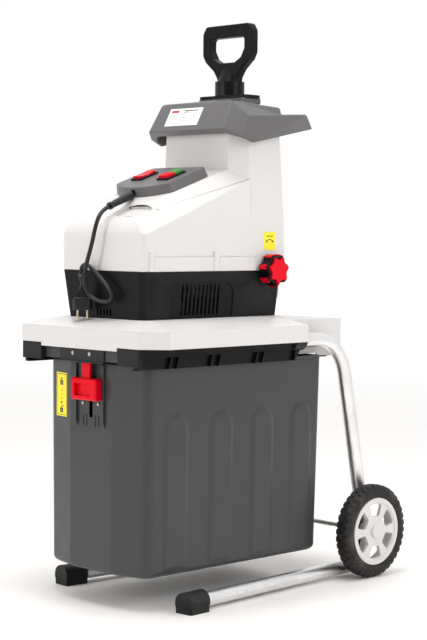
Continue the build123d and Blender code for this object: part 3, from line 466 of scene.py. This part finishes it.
def box_rings():
    """Heights of the rings of points, each with how far the rounded bottom edge draws it in."""
    rings = []
    for step in range(BOTTOM_STEPS, -1, -1):
        angle = math.pi / 2 * step / BOTTOM_STEPS
        rings.append((BOX_LOW + BOTTOM_R * (1 - math.sin(angle)), BOTTOM_R * (1 - math.cos(angle))))
    low = BOX_LOW + BOTTOM_R
    clear = BOX_GRID * 0.45
    heights = [low + BOX_GRID * index for index in range(1, int((BOX_HIGH - 2 - low) / BOX_GRID) + 1)]
    heights = [z for z in heights if min(abs(z - SLOT_LOW), abs(z - SLOT_HIGH)) > clear]
    heights = sorted(heights + [SLOT_LOW, SLOT_HIGH, BOX_HIGH])
    return rings + [(z, 0.0) for z in heights]


def make_box():
    """The bin: one drawn skin with rounded corners and a rounded bottom edge, thickened inwards."""
    base = rounded_outline(box_corners(BOX_LOW), CORNER_RADII, BOX_GRID)
    shape = bmesh.new()
    rows = []
    for z, inset in box_rings():
        half, back = box_corners(z)[0]
        row = []
        for point in base:
            x = point.x * (half - inset) / FLOOR_HALF
            y = point.y + (back - FLOOR_BACK) * max(point.y, 0.0) / FLOOR_BACK
            y -= inset * (y - BOX_FRONT) / (FLOOR_BACK - BOX_FRONT) * 2 - inset
            if inset == 0.0 and abs(point.x) > FLOOR_HALF - RIB_SIDE_BAND:
                x += math.copysign(rib_height(y, z), x)
            row.append(shape.verts.new((x * MM, y * MM, z * MM)))
        rows.append(row)
    count = len(base)
    for low, high in zip(rows, rows[1:]):
        for index in range(count):
            after = (index + 1) % count
            middle = (low[index].co + low[after].co + high[index].co + high[after].co) / (4 * MM)
            in_slot = abs(middle.x) < SLOT_HALF and middle.y < 0 and SLOT_LOW < middle.z < SLOT_HIGH
            if not in_slot:
                shape.faces.new((low[index], low[after], high[after], high[index]))
    shape.faces.new(list(reversed(rows[0])))
    bmesh.ops.recalc_face_normals(shape, faces=shape.faces)
    mesh = bpy.data.meshes.new("box_shell")
    shape.to_mesh(mesh)
    shape.free()
    mesh.shade_smooth()
    mesh.set_sharp_from_angle(angle=math.radians(50))
    shell = add_piece("box_shell", mesh, LOOKS["dark_grey_plastic"], "box")
    wall = shell.modifiers.new("wall", "SOLIDIFY")
    wall.thickness = BOX_WALL * MM
    wall.offset = -1.0
    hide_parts("collection_box")


def slabs(name, boxes, look, body, edge):
    """Several small blocks in one piece, each (x0, x1, y0, y1, z0, z1, taper at its lower end)."""
    points = []
    faces = []
    for x0, x1, y0, y1, z0, z1, taper in boxes:
        first = len(points)
        for x, y, z in ((x0, y1, z0), (x1, y1, z0), (x1, y0, z0 + taper), (x0, y0, z0 + taper),
                        (x0, y1, z1), (x1, y1, z1), (x1, y0, z1), (x0, y0, z1)):
            points.append((x * MM, y * MM, z * MM))
        for face in ((3, 2, 1, 0), (4, 5, 6, 7), (0, 1, 5, 4), (1, 2, 6, 5), (2, 3, 7, 6), (3, 0, 4, 7)):
            faces.append(tuple(first + corner for corner in face))
    mesh = mesh_from(name, points, faces)
    piece = add_piece(name, mesh, look, body)
    bevel = piece.modifiers.new("rounded_edges", "BEVEL")
    bevel.width = edge * MM
    bevel.segments = 2
    piece.modifiers.new("even_normals", "WEIGHTED_NORMAL")


def make_box_details():
    """Latch guides with tapered feet, short fins between them, and the rim that hangs on the rails."""
    wall = BOX_FRONT + 1.0
    boxes = []
    for x in (-42.5, 39.0):
        boxes.append((x, x + 3.5, BOX_FRONT - 5.4, wall, 350, 478, 14))
    for x in (-24.0, -14.0, 12.0, 22.0):
        boxes.append((x, x + 2.2, BOX_FRONT - 1.6, wall, 350, 378, 6))
    boxes.append((-44.0, 42.5, BOX_FRONT - 1.4, wall, 474, 479, 0))
    slabs("box_guides", boxes, LOOKS["dark_grey_plastic"], "box", 0.6)
    rim = []
    for side in (1, -1):
        x0, x1 = sorted((side * 147.5, side * 160.0))
        rim.append((x0, x1, -318, 169, 478.8, 481.6, 0))
    slabs("box_rim", rim, LOOKS["dark_grey_plastic"], "box", 0.6)


make_box()
make_box_details()


# ---- labels, in millimetres from the middle of each label -------------------------------------
LABEL_GAP = 0.00012


def bar(u0, u1, v0, v1):
    return [(u0, v0), (u1, v0), (u1, v1), (u0, v1)]


def band(u, v, inner, outer, start, end, steps=14):
    """Quads of a ring sector, with its angles in degrees."""
    quads = []
    for step in range(steps):
        a0 = math.radians(start + (end - start) * step / steps)
        a1 = math.radians(start + (end - start) * (step + 1) / steps)
        quads.append([(u + r * math.cos(a), v + r * math.sin(a))
                      for r, a in ((inner, a0), (outer, a0), (outer, a1), (inner, a1))])
    return quads


def printed_shapes(name, place, shapes, look, body):
    """Flat print on a label. The shapes are in millimetres, and place takes them to the object's frame."""
    points = []
    faces = []
    for shape in shapes:
        first = len(points)
        points += [place @ Vector((u * MM, v * MM, 0.0)) for u, v in shape]
        faces.append(tuple(range(first, first + len(shape))))
    mesh = mesh_from(name, points, faces, smooth=False)
    return add_piece(name, mesh, look, body)


def label_place(node, outward, upward):
    """Local axes of a thin label: u to the reader's right, v up, origin in the middle of its face."""
    low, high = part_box(node)
    normal = Vector(outward).normalized()
    up = (Vector(upward) - normal * Vector(upward).dot(normal)).normalized()
    right = up.cross(normal)
    centre = (low + high) / 2
    face = max(vertex.co.dot(normal) for vertex in nodes[node].data.vertices)
    centre += normal * (face + LABEL_GAP - centre.dot(normal))
    place = Matrix((right, up, normal)).transposed().to_4x4()
    place.translation = centre
    return place


def padlock(v, opened):
    """A plain padlock sign: a body, a keyhole gap and a shackle."""
    shift = 3.4 if opened else 0.0
    shapes = [bar(-6.0, -1.1, v - 5.0, v + 4.0), bar(1.1, 6.0, v - 5.0, v + 4.0),
              bar(-1.1, 1.1, v - 5.0, v - 3.0), bar(-1.1, 1.1, v + 1.0, v + 4.0)]
    shapes += band(shift, v + 5.0, 2.6, 4.6, 0 if not opened else 20, 180)
    shapes.append(bar(shift - 4.6, shift - 2.6, v + 3.8, v + 5.0))
    return shapes


def make_labels():
    """Plain signs for the three labels: a lock and its way to open, a turning arrow, and a data plate."""
    facet = math.atan2(16.0, 81.0)
    lock = label_place("lock_label", (-math.sin(facet), -math.cos(facet), 0), (0, 0, 1))
    border = [bar(-19.5, 19.5, 40.4, 41.4), bar(-19.5, 19.5, -41.4, -40.4),
              bar(-19.5, -18.5, -40.4, 40.4), bar(18.5, 19.5, -40.4, 40.4)]
    dots = [bar(-1.2, 1.2, v - 1.2, v + 1.2) for v in (8, 0, -8)]
    arrow = [[(-3.5, -14.0), (0.0, -20.0), (3.5, -14.0)]]
    locks = padlock(24.0, False) + padlock(-31.0, True)
    printed_shapes("lock_label_print", lock, border + dots + arrow + locks, INK, "box")
    turn = label_place("adjust_label", (1, 0, 0), (0, 0, 1))
    arc = band(0, -6.0, 8.6, 10.2, 30, 150) + [[(10.8, -3.4), (5.6, -1.6), (10.2, 2.4)]]
    arc += [[(-10.8, -3.4), (-10.2, 2.4), (-5.6, -1.6)]]
    arc += [bar(-9, -3, 9.0, 11.0), bar(3, 9, 9.0, 11.0), bar(-0.9, 0.9, 8.0, 12.0)]
    printed_shapes("adjust_label_print", turn, arc, INK, "machine")
    slope = math.atan2(33.0, 59.5)
    plate = label_place("rating_plate", (0, -math.cos(slope), math.sin(slope)), (0, 0, 1))
    lines = []
    for column, (u0, u1) in enumerate(((-44, -18), (-10, 14), (20, 44))):
        for row in range(6 - column):
            lines.append(bar(u0, u1 - 4 * ((row + column) % 3), 6.0 - 4.0 * row, 7.0 - 4.0 * row))
    printed_shapes("rating_plate_lines", plate, lines, PALE_INK, "machine")
    heads = [bar(-4, 36, 14.0, 16.0), bar(-4, 10, 10.6, 12.2)]
    printed_shapes("rating_plate_heads", plate, heads, INK, "machine")
    block = [bar(-42, -20, 10.5, 16.5)]
    printed_shapes("rating_plate_block", plate, block, RED_INK, "machine")


make_labels()


# ---- tyres, in millimetres --------------------------------------------------------------------
TREAD_BLOCKS = 38
STEPS_PER_BLOCK = 6
GROOVE_DEPTH = 3.2
RING_DEPTH = 0.4
RING_INNER = 2.4
RING_OUTER = 8.2
SHOULDER = 8.6
TREAD_FOOT_R = 88.0
HALF_PROFILE = [
    (16.0, 72.5), (17.4, 75.0), (18.2, 81.0), (18.5, 86.0), (18.3, 88.5), (17.4, 91.0), (16.4, 93.6),
    (14.6, 96.6), (12.6, 98.6), (SHOULDER, 99.6), (RING_OUTER, 99.7), (RING_INNER, 100.0), (2.0, 100.0),
]
TYRE_PROFILE = [(-along, radius) for along, radius in HALF_PROFILE] + HALF_PROFILE[::-1]


def tread_reach(step, row, radius):
    """Cuts the tread into blocks: cross grooves on both shoulders and two rings between the rows."""
    along = abs(TYRE_PROFILE[row][0])
    if along in (RING_INNER, RING_OUTER):
        return radius - RING_DEPTH
    phase = step % STEPS_PER_BLOCK
    grooved = phase in (0, 1) if along >= SHOULDER else phase in (3, 4)
    return radius - GROOVE_DEPTH if grooved and radius > TREAD_FOOT_R else radius


for side, sign in (("right", 1), ("left", -1)):
    tyre_mesh = revolved("tyre_" + side + "_tread", TYRE_PROFILE, TREAD_BLOCKS * STEPS_PER_BLOCK, tread_reach)
    for vertex in tyre_mesh.vertices:
        vertex.co = vertex.co * MM + Vector((sign * WHEEL_CENTRE.x, WHEEL_CENTRE.y, WHEEL_CENTRE.z))
    tyre_mesh.set_sharp_from_angle(angle=math.radians(32))
    tyre = add_piece("tyre_" + side + "_tread", tyre_mesh, LOOKS["tyre_rubber"], body_of("tyre_" + side))
    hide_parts("tyre_" + side)


# ---- stage and light --------------------------------------------------------------------------
def make_stage():
    """A pale floor that fades into the white of the backdrop."""
    reach = 40
    corners = [(-reach, -reach, 0), (reach, -reach, 0), (reach, reach, 0), (-reach, reach, 0)]
    floor_mesh = mesh_from("floor", corners, [(0, 1, 2, 3)])
    floor = bpy.data.objects.new("floor", floor_mesh)
    bpy.context.scene.collection.objects.link(floor)
    shader = Shader("floor_paper")
    distance = shader.add("ShaderNodeVectorMath", operation="LENGTH")
    shader.link(shader.place, distance.inputs[0])
    far = shader.spread(distance.outputs["Value"], 0.6, 7.0, 0.0, 1.0)
    paper = shader.mix(far, tone(250, 247, 244), (0.0, 0.0, 0.0, 1.0))
    shader.link(paper, shader.surface.inputs["Base Color"])
    shader.surface.inputs["Emission Color"].default_value = (1.0, 1.0, 1.0, 1.0)
    shader.link(far, shader.surface.inputs["Emission Strength"])
    shader.surface.inputs["Roughness"].default_value = 0.6
    shader.surface.inputs["Specular IOR Level"].default_value = 0.1
    floor_mesh.materials.append(shader.material)


def add_light(name, place, target, size, power):
    data = bpy.data.lights.new(name, "AREA")
    data.shape = "RECTANGLE"
    data.size = size[0]
    data.size_y = size[1]
    data.energy = power
    light = bpy.data.objects.new(name, data)
    bpy.context.scene.collection.objects.link(light)
    light.location = place
    light.rotation_euler = (Vector(target) - Vector(place)).to_track_quat("-Z", "Y").to_euler()


def make_light():
    """A white backdrop that dims behind the camera, with soft boxes at the right, above and in front."""
    world = bpy.data.worlds.new("studio")
    world.use_nodes = True
    tree = world.node_tree
    background = tree.nodes["Background"]
    direction = tree.nodes.new("ShaderNodeTexCoord")
    behind = tree.nodes.new("ShaderNodeVectorMath")
    behind.operation = "DOT_PRODUCT"
    behind.inputs[1].default_value = (-0.6, 0.8, 0.25)
    tree.links.new(direction.outputs["Generated"], behind.inputs[0])
    falloff = tree.nodes.new("ShaderNodeMapRange")
    for key, number in (("From Min", -0.8), ("From Max", 0.4), ("To Min", 0.22), ("To Max", 1.0)):
        falloff.inputs[key].default_value = number
    tree.links.new(behind.outputs["Value"], falloff.inputs["Value"])
    tree.links.new(falloff.outputs["Result"], background.inputs["Strength"])
    background.inputs["Color"].default_value = (1.0, 1.0, 1.0, 1.0)
    bpy.context.scene.world = world
    bpy.context.scene.view_settings.view_transform = "Standard"
    add_light("side_box", (3.0, 0.2, 1.9), (0.0, 0.0, 0.5), (1.2, 1.8), 33.0)
    add_light("top_box", (0.2, -0.5, 3.3), (0.0, 0.0, 0.5), (1.6, 1.6), 50.0)
    add_light("front_box", (-0.9, -3.4, 1.6), (0.0, 0.0, 0.6), (1.0, 1.6), 34.0)


make_stage()
make_light()
